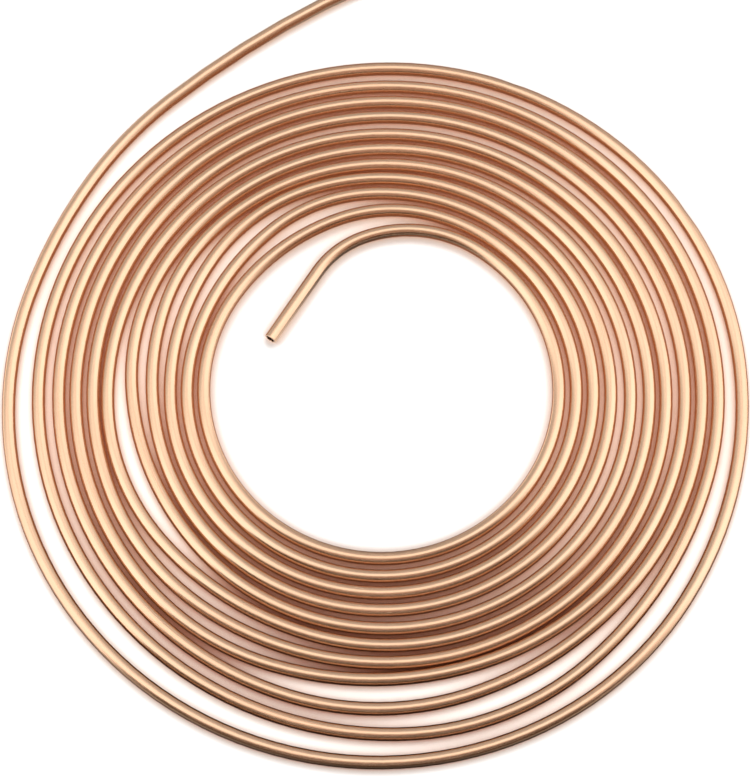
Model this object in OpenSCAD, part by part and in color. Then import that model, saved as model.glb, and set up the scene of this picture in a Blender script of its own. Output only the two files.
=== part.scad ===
// Brake line coil: one length of brake tube wound flat in a single layer, its outer end sprung free of it.
// Every turn is round, and steps out past the turn inside it once, a little earlier than the last one did.
// With the sizes below the tube is 7620 mm long.

/* [Tube] */
// Outside diameter of the tube
tube_od = 4.76; // [4:0.01:6]
// Wall thickness
tube_wall = 0.71; // [0.5:0.01:1]

/* [Coil] */
// Radius of the innermost turn, to the middle of the tube
eye_radius = 64; // [54:0.1:82]
// Gap between neighbouring turns
turn_gap = 1.32; // [1.1:0.01:2.5]
// Extra gap inside the outermost round turn
loose_gap = 1.8; // [1:0.1:3]
// How far the coil is turned on the floor
coil_angle = -33; // [-180:1:180]

/* [Inner end] */
// Length of the straight inner end
inner_straight = 31.4; // [20:0.1:50]
// Radius of the bend next to the straight
inner_bend = 34.2; // [28:0.1:42]
// Radius of the bend that leads on into the innermost turn
inner_lead = 46.2; // [40:0.1:56]

/* [Outer end] */
// How much wider than the turn inside it the last, sprung turn is
spring_out = 6.2; // [5:0.1:9]
// How much wider its first bend is, where it comes away from the turn inside it
spring_flat = 15.9; // [13:0.1:20]
// How much tighter its second bend is
spring_tight = 0.6; // [0:0.1:2]
// Radius of the outer end's first, easy bend
tail_ease = 184.6; // [150:0.1:230]
// Radius of the outer end's second bend
tail_turn = 147.7; // [120:0.1:190]
// Radius of the outer end's long, open bend
tail_bend = 350.8; // [290:0.1:430]
// Radius of the wide bend that brings the outer end round the coil
tail_loop = 200; // [180:1:240]
// Length of the straight at the outer end
outer_straight = 86.7; // [30:0.1:150]

/* [Hidden] */

bore = tube_od - 2 * tube_wall;
pitch = tube_od + turn_gap;
facets = 48;

// Bends meet on these lines in each quarter turn. The lines are sides of 3-4-5 and 7-24-25 triangles, and
// the radii are rounded to a fortieth of a millimetre, so that the middle of each bend is a round number
// and its ends close on their neighbours.
lines = [[0, 1], [0.28, 0.96], [0.6, 0.8], [0.8, 0.6], [0.96, 0.28]];
per_turn = 4 * len(lines);
line_reach = 1000;
function rounded(radius) = round(radius * 40) / 40;

// Where each step is in its turn, and how much its two bends are eased, which moves the turns that follow
// a little to one side
steps = [
    [17, 1.1], [16, 0], [15, 0.7], [14, 3], [13, 1.8],
    [11, -0.4], [10, 3.3], [9, -0.2], [7, 0.6], [6, -2]
];
step_half = 2;
last_turn = per_turn * (len(steps) + 1);
last_radius = eye_radius + pitch * len(steps) + loose_gap;

// Lines are counted clockwise from +Y, and the innermost turn starts at the second line on +Y.
function quarter_turns(v, n) = n == 0 ? v : quarter_turns([v.y, -v.x], n - 1);
function line(m) = quarter_turns(lines[m % 5], floor(m / 5) % 4);
function bearing(m) = 90 * floor(m / 5) + atan2(lines[m % 5].x, lines[m % 5].y);

// A turn up to its step, then the flatter and the tighter bend of the step
function step_bends(j) =
    let (middle = per_turn * (j + 1) + steps[j][0], ease = steps[j][1], radius = eye_radius + pitch * j)
    let (start = middle - step_half, end = middle + step_half)
    let (lead = bearing(middle) - bearing(start), trail = bearing(end) - bearing(middle))
    let (growth = pitch + (j == len(steps) - 1 ? loose_gap : 0))
    let (k = growth / (sin(lead) + sin(trail) - sin(lead + trail)))
    [
        [start, radius],
        [middle, radius + k * sin(trail) - ease],
        [end, radius - k * (sin(lead + trail) - sin(trail)) + ease]
    ];

// Every bend from the inner end to the outer end: the line that it ends on, and its radius
sizes = concat(
    [[per_turn - 3, inner_bend], [per_turn, inner_lead]],
    [for (j = [0:len(steps) - 1]) each step_bends(j)],
    [
        [last_turn + 3, last_radius],
        [last_turn + 5, last_radius + spring_flat],
        [last_turn + 7, last_radius - spring_tight],
        [last_turn + 14, last_radius + spring_out],
        [last_turn + 15, tail_ease],
        [last_turn + 16, tail_turn],
        [last_turn + 18, tail_bend],
        [last_turn + 28, tail_loop]
    ]
);
ends = [for (b = sizes) b[0]];
radii = [for (b = sizes) rounded(b[1])];
starts = concat([per_turn - 5], [for (i = [1:len(ends) - 1]) ends[i - 1]]);
first = 0;
last = len(ends) - 1;

// The innermost turn is round the origin, and each bend leaves the last one on its tangent.
innermost = 2;
function centre(i) =
    i == innermost ? [0, 0] :
    i < innermost ? centre(i + 1) + line(ends[i]) * (radii[i + 1] - radii[i]) :
    centre(i - 1) - line(starts[i]) * (radii[i] - radii[i - 1]);

module wall_section() {
    difference() {
        circle(d = tube_od, $fn = facets);
        circle(d = bore, $fn = facets);
    }
}

module sector(from, to)
    linear_extrude(2 * tube_od, center = true)
        polygon(concat([[0, 0]], [for (m = [from:to]) line_reach * line(m)]));

module bend(i)
    translate(centre(i)) intersection() {
        rotate_extrude($fn = 4 * facets) translate([radii[i], 0]) wall_section();
        sector(starts[i], ends[i]);
    }

module straight(m, turn, length)
    rotate([0, 90, turn - bearing(m)]) linear_extrude(length) wall_section();

module brake_tube()
    color([0.80, 0.50, 0.32]) rotate([0, 0, coil_angle]) translate([0, 0, tube_od / 2]) {
        translate(centre(first) + radii[first] * line(starts[first]))
            straight(starts[first], 180, inner_straight);
        for (i = [first:last]) bend(i);
        translate(centre(last) + radii[last] * line(ends[last]))
            straight(ends[last], 0, outer_straight);
    }

brake_tube();
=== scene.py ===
"""Brake line coil: one length of copper-nickel brake tube wound flat, with its outer end sprung free.

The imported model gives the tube's width and place. Everything is in metres, and the coil lies on z = 0.
"""

import math

import bmesh
import bpy
from mathutils import Matrix, Vector


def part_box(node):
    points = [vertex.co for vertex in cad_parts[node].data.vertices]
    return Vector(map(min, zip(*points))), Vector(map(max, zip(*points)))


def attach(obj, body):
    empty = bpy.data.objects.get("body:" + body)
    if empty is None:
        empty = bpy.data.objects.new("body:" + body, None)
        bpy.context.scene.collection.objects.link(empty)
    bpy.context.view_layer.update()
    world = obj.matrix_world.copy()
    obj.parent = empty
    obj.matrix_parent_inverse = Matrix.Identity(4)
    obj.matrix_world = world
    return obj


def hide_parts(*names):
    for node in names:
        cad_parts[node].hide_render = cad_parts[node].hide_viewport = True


bl_info = {
    "name": "Brake Line Coil",
    "version": (1, 0, 0),
    "blender": (4, 5, 0),
    "location": "View3D > Sidebar > Brake Line",
    "description": "A coil of drawn copper-nickel brake tube, and a plain studio to look at it in",
    "category": "Add Mesh",
}

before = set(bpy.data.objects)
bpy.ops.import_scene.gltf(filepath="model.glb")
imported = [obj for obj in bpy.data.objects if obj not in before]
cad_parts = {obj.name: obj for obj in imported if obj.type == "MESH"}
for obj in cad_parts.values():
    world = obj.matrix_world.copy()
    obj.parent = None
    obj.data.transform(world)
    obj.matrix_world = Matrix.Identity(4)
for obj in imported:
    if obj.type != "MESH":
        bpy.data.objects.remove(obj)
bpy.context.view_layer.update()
tube_low, tube_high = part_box("brake_tube")

# Bends meet on these lines in each quarter turn.
LINES = ((0, 1), (0.28, 0.96), (0.6, 0.8), (0.8, 0.6), (0.96, 0.28))
PER_TURN = 4 * len(LINES)
# Where each step is in its turn, and how much its two bends are eased
STEPS = (
    (17, 0.0011), (16, 0), (15, 0.0007), (14, 0.003), (13, 0.0018),
    (11, -0.0004), (10, 0.0033), (9, -0.0002), (7, 0.0006), (6, -0.002),
)
# How many lines a step reaches before and after its middle
STEP_HALF = 2
# Radii are made to a fortieth of a millimetre, which is this many to a metre.
RADII_PER_METRE = 40000
# The tube's length along its middle, and how far from it the sizes may bring it
STOCK_LENGTH = 7.62
LENGTH_SLACK = 0.02


class TubeSizes(bpy.types.PropertyGroup):
    """The tube and the way it is wound."""

    outside: bpy.props.FloatProperty(
        name="Outside diameter", description="Outside diameter of the tube",
        default=tube_high.z - tube_low.z, unit="LENGTH", precision=5,
    )
    wall: bpy.props.FloatProperty(
        name="Wall", description="Wall thickness of the tube",
        default=0.00071, unit="LENGTH", precision=5,
    )
    eye_radius: bpy.props.FloatProperty(
        name="Eye radius", description="Radius of the innermost turn, to the middle of the tube",
        default=0.064, unit="LENGTH", precision=5,
    )
    turn_gap: bpy.props.FloatProperty(
        name="Turn gap", description="Gap between neighbouring turns",
        default=0.00132, unit="LENGTH", precision=5,
    )
    loose_gap: bpy.props.FloatProperty(
        name="Loose gap", description="Extra gap inside the outermost round turn",
        default=0.0018, unit="LENGTH", precision=5,
    )
    coil_angle: bpy.props.FloatProperty(
        name="Coil angle", description="How far the coil is turned on the floor",
        default=math.radians(-33), unit="ROTATION",
    )
    inner_straight: bpy.props.FloatProperty(
        name="Inner straight", description="Length of the straight inner end",
        default=0.0314, unit="LENGTH",
    )
    inner_bend: bpy.props.FloatProperty(
        name="Inner bend", description="Radius of the bend next to the straight inner end",
        default=0.0342, unit="LENGTH",
    )
    inner_lead: bpy.props.FloatProperty(
        name="Inner lead", description="Radius of the bend that leads on into the innermost turn",
        default=0.0462, unit="LENGTH",
    )
    spring_out: bpy.props.FloatProperty(
        name="Spring out", description="How much wider the last, sprung turn is than the one inside it",
        default=0.0062, unit="LENGTH", precision=5,
    )
    spring_flat: bpy.props.FloatProperty(
        name="Spring flat", description="How much wider the sprung turn's first bend is",
        default=0.0159, unit="LENGTH", precision=5,
    )
    spring_tight: bpy.props.FloatProperty(
        name="Spring tight", description="How much tighter the sprung turn's second bend is",
        default=0.0006, unit="LENGTH", precision=5,
    )
    tail_ease: bpy.props.FloatProperty(
        name="Tail ease", description="Radius of the outer end's first, easy bend",
        default=0.1846, unit="LENGTH",
    )
    tail_turn: bpy.props.FloatProperty(
        name="Tail turn", description="Radius of the outer end's second bend",
        default=0.1477, unit="LENGTH",
    )
    tail_bend: bpy.props.FloatProperty(
        name="Tail bend", description="Radius of the outer end's long, open bend",
        default=0.3508, unit="LENGTH",
    )
    tail_loop: bpy.props.FloatProperty(
        name="Tail loop", description="Radius of the wide bend that brings the outer end round the coil",
        default=0.2, unit="LENGTH",
    )
    outer_straight: bpy.props.FloatProperty(
        name="Outer straight", description="Length of the straight at the outer end",
        default=0.0867, unit="LENGTH", precision=5,
    )


class CopperFinish(bpy.types.PropertyGroup):
    """The look of the drawn copper-nickel tube."""

    bright: bpy.props.FloatVectorProperty(
        name="Bright metal", description="Colour of the clean metal", subtype="COLOR",
        size=3, min=0, max=1, default=(0.955, 0.625, 0.415),
    )
    dull: bpy.props.FloatVectorProperty(
        name="Dull metal", description="Colour where the metal has begun to dull", subtype="COLOR",
        size=3, min=0, max=1, default=(0.89, 0.53, 0.335),
    )
    # A darker colour on the side of the tube that faces out, at the two dents.
    dent_colour: bpy.props.FloatVectorProperty(
        name="Bruise", description="Colour of the two bruised places on the outermost turn", subtype="COLOR",
        size=3, min=0, max=1, default=(0.52, 0.36, 0.24),
    )
    # Painted shade: the whole bore gets this dark colour in place of the shade that falls inside the tube.
    bore: bpy.props.FloatVectorProperty(
        name="Bore", description="Colour of the unpolished metal in the bore", subtype="COLOR",
        size=3, min=0, max=1, default=(0.2, 0.1, 0.055),
    )
    roughness: bpy.props.FloatProperty(
        name="Roughness", description="Roughness of the clean metal", default=0.2, min=0, max=1
    )
    draw_depth: bpy.props.FloatProperty(
        name="Draw line depth", description="Depth of the fine lines that the drawing die leaves",
        default=0.00002, unit="LENGTH", precision=6,
    )


class StudioSettings(bpy.types.PropertyGroup):
    """The floor, the lights and the camera."""

    floor_size: bpy.props.FloatProperty(
        name="Floor size", description="Length of each side of the floor", default=12, unit="LENGTH"
    )
    floor_colour: bpy.props.FloatVectorProperty(
        name="Floor colour", description="Colour of the floor", subtype="COLOR",
        size=3, min=0, max=1, default=(0.9, 0.89, 0.88),
    )
    # These floor colours are painted shade: the paper is coloured by how open it is, in place of the shade
    # and warm light that the metal throws where the turns crowd it, darker at the front, with a wide soft
    # shade in the eye.
    warm_shade: bpy.props.FloatVectorProperty(
        name="Warm shade", description="Colour of the floor close beside the tube", subtype="COLOR",
        size=3, min=0, max=1, default=(0.9, 0.75, 0.66),
    )
    gap_shade: bpy.props.FloatVectorProperty(
        name="Gap shade", description="Colour of the floor in the gaps between the turns", subtype="COLOR",
        size=3, min=0, max=1, default=(0.97, 0.68, 0.52),
    )
    deep_shade: bpy.props.FloatVectorProperty(
        name="Deep shade", description="Colour of the floor between close turns", subtype="COLOR",
        size=3, min=0, max=1, default=(0.55, 0.17, 0.08),
    )
    front_shade: bpy.props.FloatVectorProperty(
        name="Front shade", description="Colour of the floor in the gaps at the front of the coil",
        subtype="COLOR", size=3, min=0, max=1, default=(0.52, 0.19, 0.11),
    )
    soft_shade: bpy.props.FloatVectorProperty(
        name="Soft shade", description="Colour of the wide, soft shade on the floor in the eye of the coil",
        subtype="COLOR", size=3, min=0, max=1, default=(0.62, 0.51, 0.46),
    )
    ring_light: bpy.props.FloatProperty(
        name="Ring light", description="Strength of the high ring of light over the floor",
        default=3.8, min=0,
    )
    cloth_light: bpy.props.FloatProperty(
        name="Cloth light", description="Brightness of the overhead cloth that the metal mirrors",
        default=1.2, min=0,
    )
    cloth_again: bpy.props.FloatProperty(
        name="Cloth again", description="How much of the cloth is left when it is mirrored from turn to turn",
        default=0.3, min=0, max=1,
    )
    cloth_sides: bpy.props.FloatProperty(
        name="Cloth sides", description="How much brighter the cloth is at the left and the right",
        default=0.2,
    )
    cloth_middle: bpy.props.FloatProperty(
        name="Cloth middle", description="How far behind the zenith the cloth hangs", default=0.12,
    )
    cloth_slant: bpy.props.FloatProperty(
        name="Cloth slant", description="How much further back the cloth hangs on the right", default=0.22,
    )
    cloth_bow: bpy.props.FloatProperty(
        name="Cloth bow", description="How far the cloth's two ends bend to the front", default=0.32,
    )
    cloth_flare: bpy.props.FloatProperty(
        name="Cloth flare", description="How much wider the cloth is at its two ends", default=0.25,
    )
    cloth_edge: bpy.props.FloatProperty(
        name="Cloth edge", description="How far from its middle the cloth's light ends", default=0.52, min=0,
    )
    cloth_core: bpy.props.FloatProperty(
        name="Cloth core", description="How far from its middle the cloth's light begins to fade",
        default=0.0,
    )
    back_light: bpy.props.FloatProperty(
        name="Back light", description="Brightness of the back of the tent in the metal",
        default=0.36, min=0,
    )
    back_sides: bpy.props.FloatProperty(
        name="Back sides", description="How much brighter the back is at the left and the right", default=0.3,
    )
    front_colour: bpy.props.FloatVectorProperty(
        name="Front colour", description="Dark, warm light of the front of the tent in the metal",
        subtype="COLOR", size=3, min=0, max=1, default=(0.24, 0.125, 0.07),
    )
    flag_colour: bpy.props.FloatVectorProperty(
        name="Flag colour", description="Colour of the dark flag at the front",
        subtype="COLOR", size=3, min=0, max=1, default=(0.07, 0.038, 0.02),
    )
    # These set the painted reflection of the floor: a glowing card that the metal mirrors in place of the
    # floor, with painted shade between the turns.
    floor_light: bpy.props.FloatProperty(
        name="Floor light", description="Brightness of the open floor behind in the metal",
        default=0.25, min=0,
    )
    floor_least: bpy.props.FloatProperty(
        name="Floor least", description="Brightness of the darkest open floor in the metal",
        default=0.07, min=0,
    )
    side_light: bpy.props.FloatProperty(
        name="Side light", description="Brightness of the open floor at the left and the right in the metal",
        default=0.9, min=0,
    )
    gap_colour: bpy.props.FloatVectorProperty(
        name="Gap colour", description="Colour of the floor between the turns in the metal", subtype="COLOR",
        size=3, min=0, max=1, default=(1, 0.5, 0.3),
    )
    gap_light: bpy.props.FloatProperty(
        name="Gap light", description="Brightness of the floor between the turns in the metal",
        default=0.24, min=0,
    )
    elevation: bpy.props.FloatProperty(
        name="Camera elevation", description="Angle of the camera above the floor",
        default=math.radians(71), unit="ROTATION",
    )
    distance: bpy.props.FloatProperty(
        name="Camera distance", description="Distance of the camera from the middle of its view",
        default=1.0154, unit="LENGTH",
    )
    lens: bpy.props.FloatProperty(
        name="Lens", description="Focal length of the camera", default=129.68, unit="CAMERA"
    )
    aim: bpy.props.FloatVectorProperty(
        name="Camera aim", description="The middle of the camera's view", subtype="TRANSLATION",
        size=3, default=(-0.00227, -0.00161, 0.0024), precision=5,
    )


# --- the way the tube runs ----------------------------------------------------------------------------


def line(m):
    """The line that a bend starts or ends on, counted clockwise from +Y, twenty to a turn."""
    x, y = LINES[m % len(LINES)]
    for _ in range(m // len(LINES) % 4):
        x, y = y, -x
    return Vector((x, y, 0))


def bearing(m):
    """The clockwise angle of a line from +Y."""
    x, y = LINES[m % len(LINES)]
    return math.radians(90) * (m // len(LINES)) + math.atan2(x, y)


def rounded(radius):
    """A radius to the fortieth of a millimetre that the bends are made to."""
    return math.floor(radius * RADII_PER_METRE + 0.5) / RADII_PER_METRE


def step_bends(sizes, j):
    """Turn j up to its step, then the flatter and the tighter bend of the step."""
    pitch = sizes.outside + sizes.turn_gap
    place, ease = STEPS[j]
    middle = PER_TURN * (j + 1) + place
    radius = sizes.eye_radius + pitch * j
    start, end = middle - STEP_HALF, middle + STEP_HALF
    lead, trail = bearing(middle) - bearing(start), bearing(end) - bearing(middle)
    growth = pitch + (sizes.loose_gap if j == len(STEPS) - 1 else 0)
    k = growth / (math.sin(lead) + math.sin(trail) - math.sin(lead + trail))
    return [
        (start, radius),
        (middle, radius + k * math.sin(trail) - ease),
        (end, radius - k * (math.sin(lead + trail) - math.sin(trail)) + ease),
    ]


def bends(sizes):
    """Every bend from the inner end to the outer end: its centre, radius, first line and last line."""
    last_turn = PER_TURN * (len(STEPS) + 1)
    last_radius = sizes.eye_radius + (sizes.outside + sizes.turn_gap) * len(STEPS) + sizes.loose_gap
    way = [(PER_TURN - 3, sizes.inner_bend), (PER_TURN, sizes.inner_lead)]
    for j in range(len(STEPS)):
        way += step_bends(sizes, j)
    way += [
        (last_turn + 3, last_radius),
        (last_turn + 5, last_radius + sizes.spring_flat),
        (last_turn + 7, last_radius - sizes.spring_tight),
        (last_turn + 14, last_radius + sizes.spring_out),
        (last_turn + 15, sizes.tail_ease),
        (last_turn + 16, sizes.tail_turn),
        (last_turn + 18, sizes.tail_bend),
        (last_turn + 28, sizes.tail_loop),
    ]
    ends = [end for end, _ in way]
    radii = [rounded(radius) for _, radius in way]
    starts = [PER_TURN - 5] + ends[:-1]
    innermost = 2
    centres = [Vector((0, 0, 0))] * len(ends)
    for i in range(innermost - 1, -1, -1):
        centres[i] = centres[i + 1] + line(ends[i]) * (radii[i + 1] - radii[i])
    for i in range(innermost + 1, len(ends)):
        centres[i] = centres[i - 1] - line(starts[i]) * (radii[i] - radii[i - 1])
    return list(zip(centres, radii, starts, ends))


# --- shader nodes -------------------------------------------------------------------------------------


class Socket:
    """A node's output, on which the maths operators add Math nodes."""

    def __init__(self, nodes, output):
        self.nodes, self.output = nodes, output

    def _math(self, operation, *values):
        return self.nodes.add("ShaderNodeMath", {"operation": operation}, dict(enumerate(values)))

    def __add__(self, other):
        return self._math("ADD", self, other)

    def __sub__(self, other):
        return self._math("SUBTRACT", self, other)

    def __rsub__(self, other):
        return self._math("SUBTRACT", other, self)

    def __mul__(self, other):
        return self._math("MULTIPLY", self, other)

    def __truediv__(self, other):
        return self._math("DIVIDE", self, other)

    def __abs__(self):
        return self._math("ABSOLUTE", self)

    __radd__, __rmul__ = __add__, __mul__


class Nodes:
    """The nodes of a material or a world, from an empty start."""

    def __init__(self, owner):
        owner.use_nodes = True
        self.tree = owner.node_tree
        self.tree.nodes.clear()

    def add(self, kind, settings=None, inputs=None, output=0):
        """Adds a node of this kind with its settings, then its values and links, and returns an output."""
        node = self.tree.nodes.new(kind)
        for name, value in (settings or {}).items():
            if name == "stops":
                self.set_stops(node.color_ramp.elements, value)
            else:
                setattr(node, name, value)
        for name, value in (inputs or {}).items():
            if isinstance(value, Socket):
                self.tree.links.new(value.output, node.inputs[name])
            else:
                node.inputs[name].default_value = value
        return Socket(self, node.outputs[output]) if node.outputs else node

    @staticmethod
    def set_stops(elements, stops):
        """A ramp's stops, each a position and a grey value."""
        while len(elements) < len(stops):
            elements.new(1)
        for element, (position, value) in zip(elements, stops):
            element.position = position
            element.color = (value, value, value, 1)

    def blend(self, factor, first, second):
        """A colour between two, by the factor."""
        return self.add(
            "ShaderNodeMix", {"data_type": "RGBA"}, {0: factor, 6: colour(first), 7: colour(second)}, output=2
        )

    def grey(self, value):
        """A value as a colour, past 1 too."""
        return self.add("ShaderNodeCombineXYZ", None, {0: value, 1: value, 2: value})

    def tint(self, shade, strength):
        """A colour made stronger or weaker, past 1 too."""
        return self.add(
            "ShaderNodeVectorMath", {"operation": "SCALE"}, {0: tuple(shade), "Scale": strength}
        )

    def stretch(self, way, amounts):
        """A vector with each part multiplied by its own amount."""
        return self.add("ShaderNodeVectorMath", {"operation": "MULTIPLY"}, {0: way, 1: amounts})

    def length(self, way):
        """The length of a vector."""
        return self.add("ShaderNodeVectorMath", {"operation": "LENGTH"}, {0: way}, output="Value")

    def parts(self, way, axes):
        """The named parts of a vector."""
        return [self.add("ShaderNodeSeparateXYZ", None, {0: way}, output=axis) for axis in axes]

    def ramp(self, value, stops):
        """A value taken through a ramp of grey stops."""
        return self.add("ShaderNodeValToRGB", {"stops": stops}, {0: value})

    def fade(self, value, nothing, full):
        """0 where the value is at nothing, 1 where it is at full, and a soft change between."""
        return self.add(
            "ShaderNodeMapRange", {"interpolation_type": "SMOOTHSTEP"},
            {"Value": value, "From Min": nothing, "From Max": full},
        )


def colour(value):
    """A socket as it is, or three numbers as an opaque colour."""
    return value if isinstance(value, Socket) else (*value, 1)


# --- the tube -----------------------------------------------------------------------------------------

# Sides of the tube's section, and how far apart its rings are, round a bend and along a straight
SIDES = 28
STEP_ANGLE = math.radians(2.75)
STRAIGHT_STEP = 0.006
# How much is taken off the sharp edges of a sawn end
RIM_EDGE = 0.00012
# Places that are this close are the same one.
CLOSE = 1e-6
# Edges that turn by more than this are shaded sharp.
SHARP = math.radians(20)
# Two dents: how far along the tube they are, their depth and half length, and the finer rings that carry them
DENTS = (5.974, 6.056)
DENT_DEPTH = 0.00025
DENT_HALF = 0.004
DENT_REACH = 0.014
DENT_CUTS = 5


def only(kind, geometry):
    """The parts of this kind, from what a bmesh operator returns."""
    return [part for part in geometry if isinstance(part, kind)]


def clockwise(direction):
    """The direction of travel on a line, a quarter turn clockwise from it."""
    return Vector((direction.y, -direction.x, 0))


def open_length(sizes, place, out, along):
    """A new bmesh with two rings of vertices, outside and bore, ready to be drawn on.

    The layer tube_way tells the finish where it is: how far out from the coil and how far up from the middle
    of the tube, as shares of its radius, and how far along the tube.
    """
    bm = bmesh.new()
    way = bm.verts.layers.float_vector.new("tube_way")
    section = Matrix((out, (0, 0, 1), clockwise(out))).transposed().to_4x4()
    section.translation = place
    for size in (sizes.outside, sizes.outside - 2 * sizes.wall):
        ring = bmesh.ops.create_circle(bm, cap_ends=False, segments=SIDES, radius=size / 2, matrix=section)
        share = size / sizes.outside
        for vert in ring["verts"]:
            arm = (vert.co - place).normalized()
            vert[way] = (arm.dot(out) * share, arm.z * share, along)
    return bm, way


def straight(sizes, place, out, length, along):
    """A straight length of tube, open at both ends."""
    bm, way = open_length(sizes, place, out, along)
    forward, steps = clockwise(out), math.ceil(length / STRAIGHT_STEP)
    edges = bm.edges[:]
    for _ in range(steps):
        drawn = bmesh.ops.extrude_edge_only(bm, edges=edges)["geom"]
        ring = only(bmesh.types.BMVert, drawn)
        bmesh.ops.translate(bm, verts=ring, vec=forward * length / steps)
        edges = [edge for edge in only(bmesh.types.BMEdge, drawn) if set(edge.verts) <= set(ring)]
    for vert in bm.verts:
        vert[way].z += (vert.co - place).dot(forward)
    return bm


def bend(sizes, centre, radius, start, end, along):
    """One bend of tube, open at both ends."""
    out, turn = line(start), bearing(end) - bearing(start)
    bm, way = open_length(sizes, centre + out * radius, out, along)
    steps = max(1, round(turn / STEP_ANGLE))
    bmesh.ops.spin(
        bm, geom=bm.edges[:], cent=centre, axis=(0, 0, 1), angle=-turn, steps=steps, use_merge=False
    )
    # A vertex on the first line can come out a hair before it, and isn't a whole turn further on.
    hair = 0.01
    for vert in bm.verts:
        arm = vert.co - centre
        turned = (math.atan2(arm.x, arm.y) - bearing(start) + hair) % math.tau - hair
        vert[way].z += radius * turned
    return bm


def close_end(bm, sizes, place, forward):
    """Closes the wall at a sawn end, from the outside in to the bore, and takes the sharp edges off it."""

    def sawn(part):
        return all(abs((vert.co - place).dot(forward)) < CLOSE for vert in part.verts)

    middle_of_wall = sizes.outside / 2 - sizes.wall / 2
    outside = [
        edge for edge in bm.edges
        if sawn(edge) and all((vert.co - place).length > middle_of_wall for vert in edge.verts)
    ]
    ring = only(bmesh.types.BMVert, bmesh.ops.extrude_edge_only(bm, edges=outside)["geom"])
    shrink = 1 - 2 * sizes.wall / sizes.outside
    bmesh.ops.scale(bm, verts=ring, vec=(shrink, shrink, shrink), space=Matrix.Translation(-place))
    bmesh.ops.remove_doubles(bm, verts=bm.verts, dist=CLOSE)
    bmesh.ops.recalc_face_normals(bm, faces=bm.faces)
    corners = [edge for edge in bm.edges if {sawn(face) for face in edge.link_faces} == {True, False}]
    bmesh.ops.bevel(
        bm, geom=corners, offset=RIM_EDGE, offset_type="OFFSET", affect="EDGES", segments=2,
        profile=0.5, material=-1,
    )


def join(lengths):
    """All the lengths of tube as one, end to end."""
    whole = lengths[0]
    for length in lengths[1:]:
        mesh = bpy.data.meshes.new("length")
        length.to_mesh(mesh)
        length.free()
        whole.from_mesh(mesh)
        bpy.data.meshes.remove(mesh)
    bmesh.ops.remove_doubles(whole, verts=whole.verts, dist=CLOSE)
    bmesh.ops.recalc_face_normals(whole, faces=whole.faces)
    return whole


def dent(bm, along):
    """A small dent on the side of the tube that faces out from the coil, with finer rings to carry it."""
    way = bm.verts.layers.float_vector["tube_way"]
    near = [
        edge for edge in bm.edges
        if all(abs(vert[way].z - along) < DENT_REACH for vert in edge.verts)
        and abs(edge.verts[0][way].z - edge.verts[1][way].z) > CLOSE
    ]
    bmesh.ops.subdivide_edges(bm, edges=near, cuts=DENT_CUTS, use_grid_fill=True)
    for vert in bm.verts:
        out, _, reached = vert[way]
        if out > 0 and abs(reached - along) < DENT_REACH:
            depth = DENT_DEPTH * out * out * math.exp(-((reached - along) / DENT_HALF) ** 2)
            vert.co -= Vector((vert.co.x, vert.co.y, 0)).normalized() * depth


def make_tube(sizes):
    """The tube as one closed skin, outside and bore, drawn along its straights and round its bends."""
    run = bends(sizes)
    centre, radius, start, _ = run[0]
    out = line(start)
    first = centre + out * radius - clockwise(out) * sizes.inner_straight
    lengths, along = [straight(sizes, first, out, sizes.inner_straight, 0)], sizes.inner_straight
    close_end(lengths[0], sizes, first, clockwise(out))
    for centre, radius, start, end in run:
        lengths.append(bend(sizes, centre, radius, start, end, along))
        along += radius * (bearing(end) - bearing(start))
    out = line(end)
    lengths.append(straight(sizes, centre + out * radius, out, sizes.outer_straight, along))
    last = centre + out * radius + clockwise(out) * sizes.outer_straight
    close_end(lengths[-1], sizes, last, clockwise(out))
    bm = join(lengths)
    for place in DENTS:
        dent(bm, place)
    for face in bm.faces:
        face.smooth = True
    for edge in bm.edges:
        edge.smooth = edge.calc_face_angle() < SHARP
    bmesh.ops.rotate(bm, verts=bm.verts, cent=(0, 0, 0), matrix=Matrix.Rotation(sizes.coil_angle, 3, "Z"))
    bmesh.ops.translate(bm, verts=bm.verts, vec=(0, 0, sizes.outside / 2))
    return bm, along + sizes.outer_straight


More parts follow.
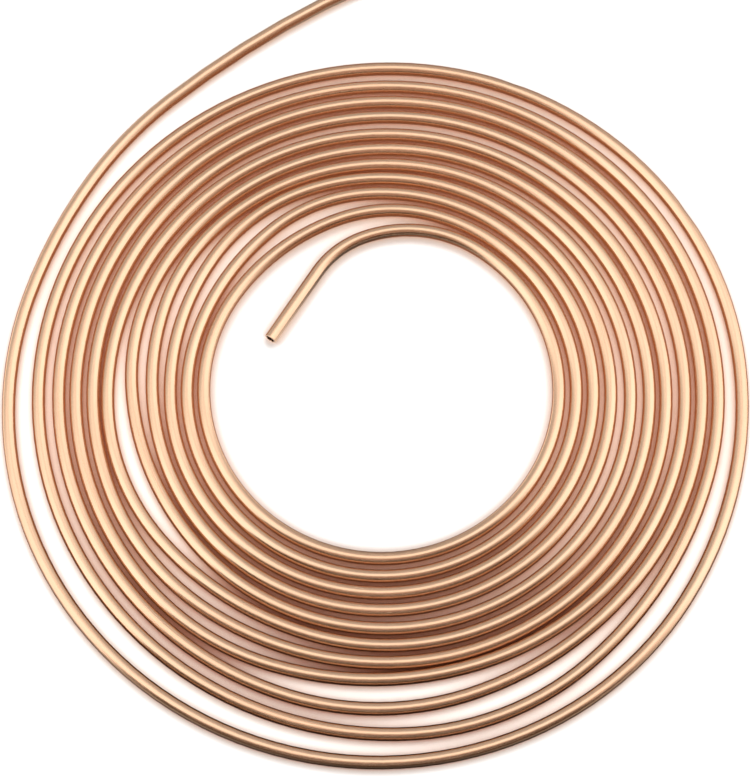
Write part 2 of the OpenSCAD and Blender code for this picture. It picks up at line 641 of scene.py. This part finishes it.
def copper(finish):
    """Drawn copper-nickel: fine lines along the tube, a thin uneven dulling, darker colour at the two dents,
    and a bore coloured dark as painted shade.
    """
    material = bpy.data.materials.new("drawn_copper_nickel")
    nodes = Nodes(material)
    way = nodes.add("ShaderNodeAttribute", {"attribute_name": "tube_way"}, output=1)
    # The way's first two parts are shares of the radius and its third is in metres, hence the stretches.
    streaks = nodes.add(
        "ShaderNodeTexNoise", {"noise_dimensions": "3D"},
        {"Vector": nodes.stretch(way, (1, 1, 6)), "Scale": 7, "Detail": 4, "Roughness": 0.6},
    )
    cloud = nodes.add(
        "ShaderNodeTexNoise", {"noise_dimensions": "3D"},
        {"Vector": nodes.stretch(way, (0.4, 0.4, 22)), "Scale": 1, "Detail": 3, "Roughness": 0.55},
    )
    dulled = nodes.ramp(cloud, [(0.35, 0), (0.7, 1)])
    clean = nodes.blend(dulled * 0.6, finish.bright, finish.dull)
    out, along = nodes.parts(way, "XZ")
    # The colour turns darker on the side that faces out, at the two dents.
    dent_colour_reach = DENT_HALF * 1.5
    marks = sum(nodes.fade(abs(along - place), dent_colour_reach, 0) for place in DENTS)
    skin = nodes.blend(nodes.fade(out, 0.2, 0.9) * marks * 0.6, clean, finish.dent_colour)
    # Painted shade: the inside of the tube is coloured dark, in place of the shade that falls in the bore.
    share = nodes.length(nodes.stretch(way, (1, 1, 0)))
    base = nodes.blend(nodes.fade(share, 0.97, 0.8), skin, finish.bore)
    rough = finish.roughness + dulled * 0.08 + (streaks - 0.5) * 0.1
    normal = nodes.add(
        "ShaderNodeBump", None, {"Strength": 0.5, "Distance": finish.draw_depth, "Height": streaks}
    )
    shader = nodes.add(
        "ShaderNodeBsdfPrincipled", None,
        {"Base Color": base, "Metallic": 1.0, "Roughness": rough, "Normal": normal},
    )
    nodes.add("ShaderNodeOutputMaterial", None, {"Surface": shader})
    return material


def add_mesh(name, bm, material):
    """An object at the origin with this mesh and material."""
    mesh = bpy.data.meshes.new(name)
    bm.to_mesh(mesh)
    bm.free()
    mesh.materials.append(material)
    piece = bpy.data.objects.new(name, mesh)
    bpy.context.scene.collection.objects.link(piece)
    return piece


class BRAKELINE_OT_tube(bpy.types.Operator):
    """Make the wound brake tube with its drawn copper-nickel finish"""

    bl_idname = "brakeline.tube"
    bl_label = "Brake Tube"

    def execute(self, context):
        scene = context.scene
        bm, length = make_tube(scene.brakeline_tube)
        if abs(length - STOCK_LENGTH) > LENGTH_SLACK:
            raise RuntimeError(f"the tube is {length:.3f} m long, not {STOCK_LENGTH} m")
        piece = add_mesh("wound_brake_tube", bm, copper(scene.brakeline_finish))
        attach(piece, "root")
        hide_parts("brake_tube")
        return {"FINISHED"}


# --- the studio ---------------------------------------------------------------------------------------

# The flag's width and height, and how far it stands in front of the coil's middle
FLAG_WIDTH = 0.6
FLAG_HEIGHT = 0.22
FLAG_FRONT = 0.24


def floor_place(nodes):
    """Where a point of the floor lies: its x and y, how far out it is, and 1 at the front of the coil."""
    place = nodes.add("ShaderNodeTexCoord", None, None, output="Object")
    x, y = nodes.parts(place, "XY")
    return x, y, nodes.length(place), nodes.fade(y, 0, -0.12)


def floor_paper(studio):
    """White paper with painted shade: warm, red and deep colours where the turns crowd it stand in for the
    shade and warm light that the metal throws on it, darker at the front of the coil, with a wide soft shade
    painted in the eye.
    """
    material = bpy.data.materials.new("floor_paper")
    nodes = Nodes(material)
    # How open the floor is to its near and to its wider surroundings
    open_air, wide_air = (
        nodes.add("ShaderNodeAmbientOcclusion", {"samples": 12}, {"Distance": distance}, output="AO")
        for distance in (0.007, 0.03)
    )
    _, _, reach, front = floor_place(nodes)
    # Painted shade: darker, redder colours in the gaps between the turns, darker still at the front of the
    # coil.
    gap = nodes.blend(front, studio.gap_shade, studio.front_shade)
    deep = nodes.tint(studio.deep_shade, 1 - front * 0.65)
    close = nodes.blend(nodes.fade(open_air, 0.1, 0.35), deep, gap)
    near = nodes.blend(nodes.fade(open_air, 0.3, 0.55), close, studio.warm_shade)
    # Painted shade: a wide soft shade on the paper in the eye of the coil.
    shaded = nodes.fade(wide_air, 0.97, 0.5) * nodes.fade(reach, 0.075, 0.065)
    soft = nodes.blend(shaded, studio.floor_colour, studio.soft_shade)
    tint = nodes.blend(nodes.fade(open_air, 0.5, 0.85), near, soft)
    shader = nodes.add("ShaderNodeBsdfDiffuse", None, {"Color": tint})
    nodes.add("ShaderNodeOutputMaterial", None, {"Surface": shader})
    return material


def painted_floor_reflection(studio):
    """Painted reflection of the floor: a glowing card that only the metal mirrors below it, lit floor round
    the coil and in its eye, and painted shade between the turns, dimmer at the front.
    """
    material = bpy.data.materials.new("painted_floor_reflection")
    nodes = Nodes(material)
    x, y, reach, front = floor_place(nodes)
    outside, eye = nodes.fade(reach, 0.138, 0.15), nodes.fade(reach, 0.06, 0.05)
    behind = nodes.fade((outside - eye) * y / reach, -0.3, 0.3)
    across = x / reach
    sides = across * across
    floor = behind * studio.floor_light + sides * studio.side_light + studio.floor_least
    # Painted shade in the reflection: the gaps between the turns glow a dim red, dimmer at the front.
    gap_light = studio.gap_light * (1 - front * 0.9) * (sides * 0.6 + 1)
    gap = nodes.tint(studio.gap_colour, gap_light)
    shine = nodes.blend(outside + eye, gap, nodes.grey(floor))
    shader = nodes.add("ShaderNodeEmission", None, {"Color": shine})
    nodes.add("ShaderNodeOutputMaterial", None, {"Surface": shader})
    return material


def dark_flag(studio):
    """The dark flag at the front of the tent, that the near side of the coil mirrors."""
    material = bpy.data.materials.new("dark_flag")
    nodes = Nodes(material)
    shader = nodes.add("ShaderNodeEmission", None, {"Color": (*studio.flag_colour, 1)})
    nodes.add("ShaderNodeOutputMaterial", None, {"Surface": shader})
    return material


def light_tent(studio):
    """The light tent round the floor.

    A high ring of light falls on the floor, and the metal mirrors a wide, soft overhead cloth that runs from
    the left to the right, a dim back and a dark, warm front. The cloth is dimmed where a turn mirrors it in
    another turn, and the camera sees plain white.
    """
    world = bpy.data.worlds.new("light_tent")
    nodes = Nodes(world)
    way = nodes.add("ShaderNodeTexCoord", None, None, output="Generated")
    x, y, z = nodes.parts(way, "XYZ")
    sideways = x * x
    from_middle = y - (studio.cloth_middle + x * studio.cloth_slant - sideways * studio.cloth_bow)
    cloth = nodes.fade(abs(from_middle) - abs(x) * studio.cloth_flare, studio.cloth_edge, studio.cloth_core)
    behind = nodes.fade(from_middle, -0.114, 0.114)
    back = nodes.grey(studio.back_light + sideways * studio.back_sides)
    surround = nodes.blend(behind, studio.front_colour, back)
    # One for a ray that met the metal once, and two or more where a turn is mirrored in another
    mirrored = nodes.add("ShaderNodeLightPath", None, None, output="Glossy Depth")
    again = nodes.fade(mirrored, 1.9, 1.1) * (1 - studio.cloth_again) + studio.cloth_again
    shine = nodes.grey((studio.cloth_light + nodes.fade(abs(x), 0.05, 0.4) * studio.cloth_sides) * again)
    overhead = nodes.blend(cloth, surround, shine)
    ring = nodes.fade(z, 0.66, 0.72) * nodes.fade(z, 0.95, 0.92) * studio.ring_light * (0.45 + y * y * 3)
    glossy, camera = (
        nodes.add("ShaderNodeLightPath", None, None, output=kind)
        for kind in ("Is Glossy Ray", "Is Camera Ray")
    )
    rest = camera + (1 - camera) * ring
    light = nodes.blend(glossy, nodes.grey(rest), overhead)
    background = nodes.add("ShaderNodeBackground", None, {"Color": light})
    nodes.add("ShaderNodeOutputWorld", None, {"Surface": background})
    return world


class BRAKELINE_OT_studio(bpy.types.Operator):
    """Lay the pale floor and set the soft lights and the camera"""

    bl_idname = "brakeline.studio"
    bl_label = "Studio"

    def execute(self, context):
        scene = context.scene
        studio = scene.brakeline_studio
        bm = bmesh.new()
        bmesh.ops.create_grid(bm, x_segments=8, y_segments=8, size=studio.floor_size / 2)
        floor = add_mesh("studio_floor", bm, floor_paper(studio))
        floor.visible_glossy = False
        # A glowing card seen only in the metal: a painted reflection of the floor, with painted shade between
        # the turns.
        bm = bmesh.new()
        bmesh.ops.create_circle(bm, cap_ends=True, segments=64, radius=studio.floor_size / 2)
        card = add_mesh("painted_floor_reflection", bm, painted_floor_reflection(studio))
        flag = bmesh.new()
        upright = Matrix.Rotation(math.pi / 2, 4, "X")
        bmesh.ops.create_grid(flag, x_segments=1, y_segments=1, size=0.5, matrix=upright)
        bmesh.ops.scale(flag, verts=flag.verts, vec=(FLAG_WIDTH, 1, FLAG_HEIGHT))
        bmesh.ops.translate(flag, verts=flag.verts, vec=(0, -FLAG_FRONT, FLAG_HEIGHT / 2))
        flag = add_mesh("dark_flag", flag, dark_flag(studio))
        for unseen in (card, flag):
            unseen.visible_camera = unseen.visible_diffuse = unseen.visible_shadow = False

        scene.world = light_tent(studio)
        scene.view_settings.view_transform = "Standard"

        camera = bpy.data.objects.new("studio_camera", bpy.data.cameras.new("studio_camera"))
        back = Vector((0, -math.cos(studio.elevation), math.sin(studio.elevation)))
        camera.location = Vector(studio.aim) + back * studio.distance
        camera.rotation_euler = (math.pi / 2 - studio.elevation, 0, 0)
        camera.data.lens = studio.lens
        camera.data.sensor_width = 36
        camera.data.clip_start, camera.data.clip_end = 0.01, 100
        scene.collection.objects.link(camera)
        scene.camera = camera
        return {"FINISHED"}


class BRAKELINE_PT_panel(bpy.types.Panel):
    """The pieces of the brake line coil, and their sizes"""

    bl_label = "Brake Line Coil"
    bl_idname = "BRAKELINE_PT_panel"
    bl_space_type = "VIEW_3D"
    bl_region_type = "UI"
    bl_category = "Brake Line"

    def draw(self, context):
        for operator, settings in (
            ("brakeline.tube", (context.scene.brakeline_tube, context.scene.brakeline_finish)),
            ("brakeline.studio", (context.scene.brakeline_studio,)),
        ):
            box = self.layout.box()
            box.operator(operator)
            for group in settings:
                for name in group.__annotations__:
                    box.prop(group, name)


CLASSES = (
    TubeSizes, CopperFinish, StudioSettings, BRAKELINE_OT_tube, BRAKELINE_OT_studio, BRAKELINE_PT_panel
)
SETTINGS = {
    "brakeline_tube": TubeSizes,
    "brakeline_finish": CopperFinish,
    "brakeline_studio": StudioSettings,
}


def register():
    for cls in CLASSES:
        bpy.utils.register_class(cls)
    for name, group in SETTINGS.items():
        setattr(bpy.types.Scene, name, bpy.props.PointerProperty(type=group))


def unregister():
    for name in SETTINGS:
        delattr(bpy.types.Scene, name)
    for cls in reversed(CLASSES):
        bpy.utils.unregister_class(cls)


def main():
    register()
    bpy.ops.brakeline.tube()
    bpy.ops.brakeline.studio()
    bpy.context.view_layer.update()


if __name__ == "__main__":
    main()
